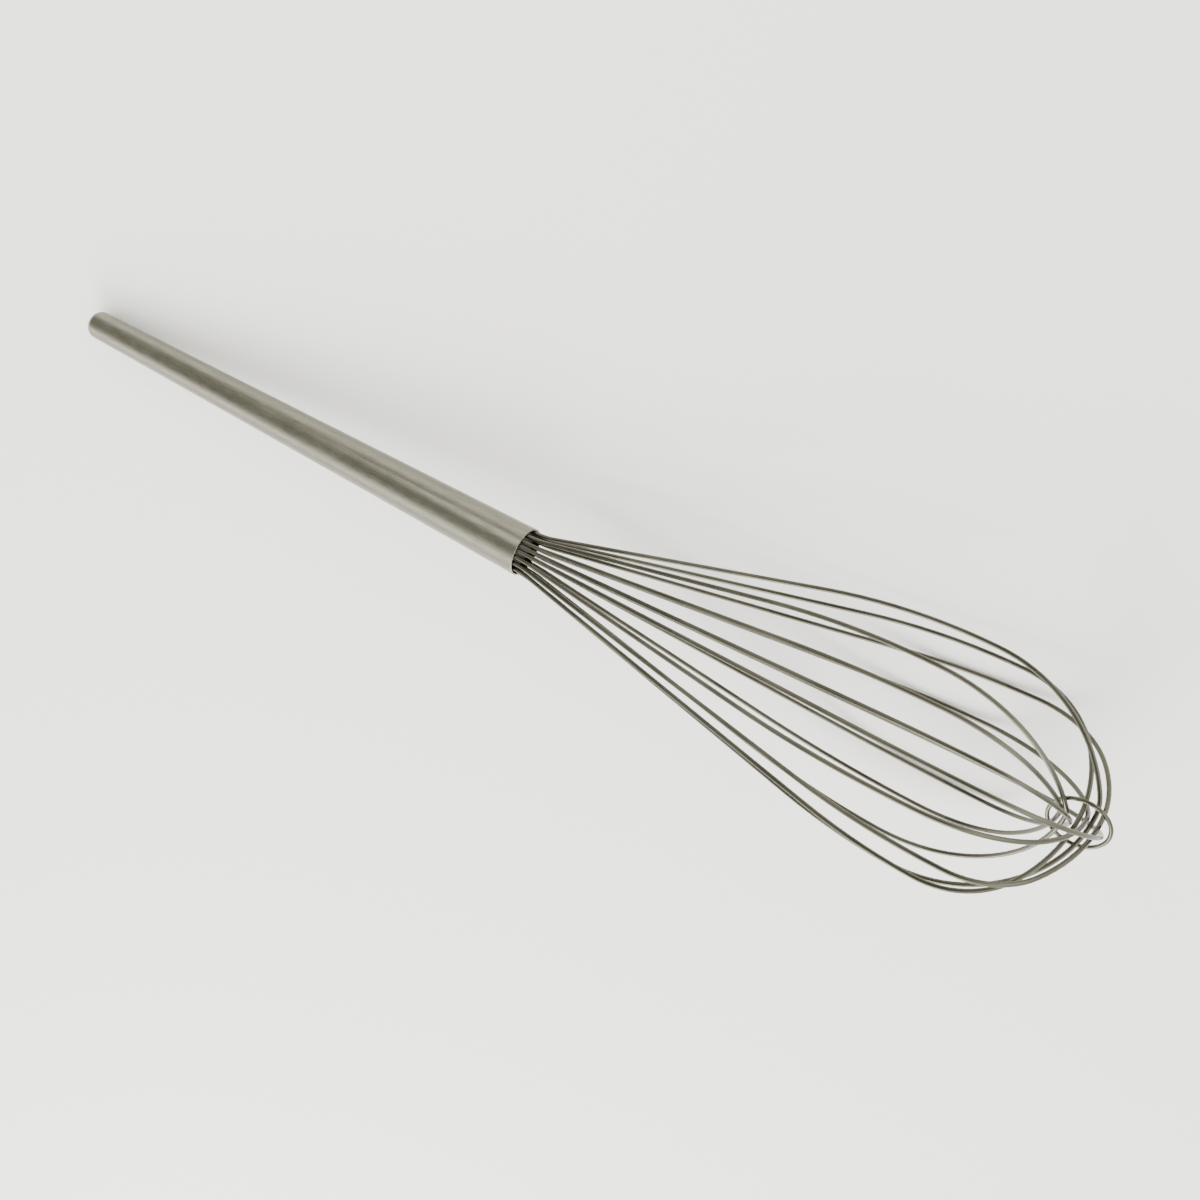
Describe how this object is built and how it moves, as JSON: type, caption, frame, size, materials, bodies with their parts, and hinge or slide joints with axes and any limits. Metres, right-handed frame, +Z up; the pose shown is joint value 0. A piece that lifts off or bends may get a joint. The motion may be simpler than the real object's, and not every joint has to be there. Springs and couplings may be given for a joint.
{
  "type": "balloon whisk",
  "caption": "Long-handled balloon whisk: round wire loops held in the mouth of a tapered tubular steel handle, for beating and blending.",
  "frame": {"origin": "centre of the bounding box's base, where the whisk rests on a table", "axes": "+X from the handle's end towards the tip of the balloon, +Z up"},
  "size_m": [0.8332, 0.1532, 0.166],
  "materials": {
    "handle_steel": "lengthwise satin",
    "wire_steel": "drawn wire, semi-bright",
    "seal_resin": "matt"
  },
  "bodies": {
    "root": {"handle_tube": "handle_steel", "end_cap": "handle_steel", "wire_loop_1": "wire_steel", "wire_loop_2": "wire_steel", "wire_loop_3": "wire_steel", "wire_loop_4": "wire_steel", "wire_loop_5": "wire_steel", "wire_loop_6": "wire_steel", "wire_loop_7": "wire_steel", "wire_loop_8": "wire_steel", "tie_ring": "wire_steel", "mouth_seal": "seal_resin", "core_plug": "seal_resin"}
  },
  "joints": []
}
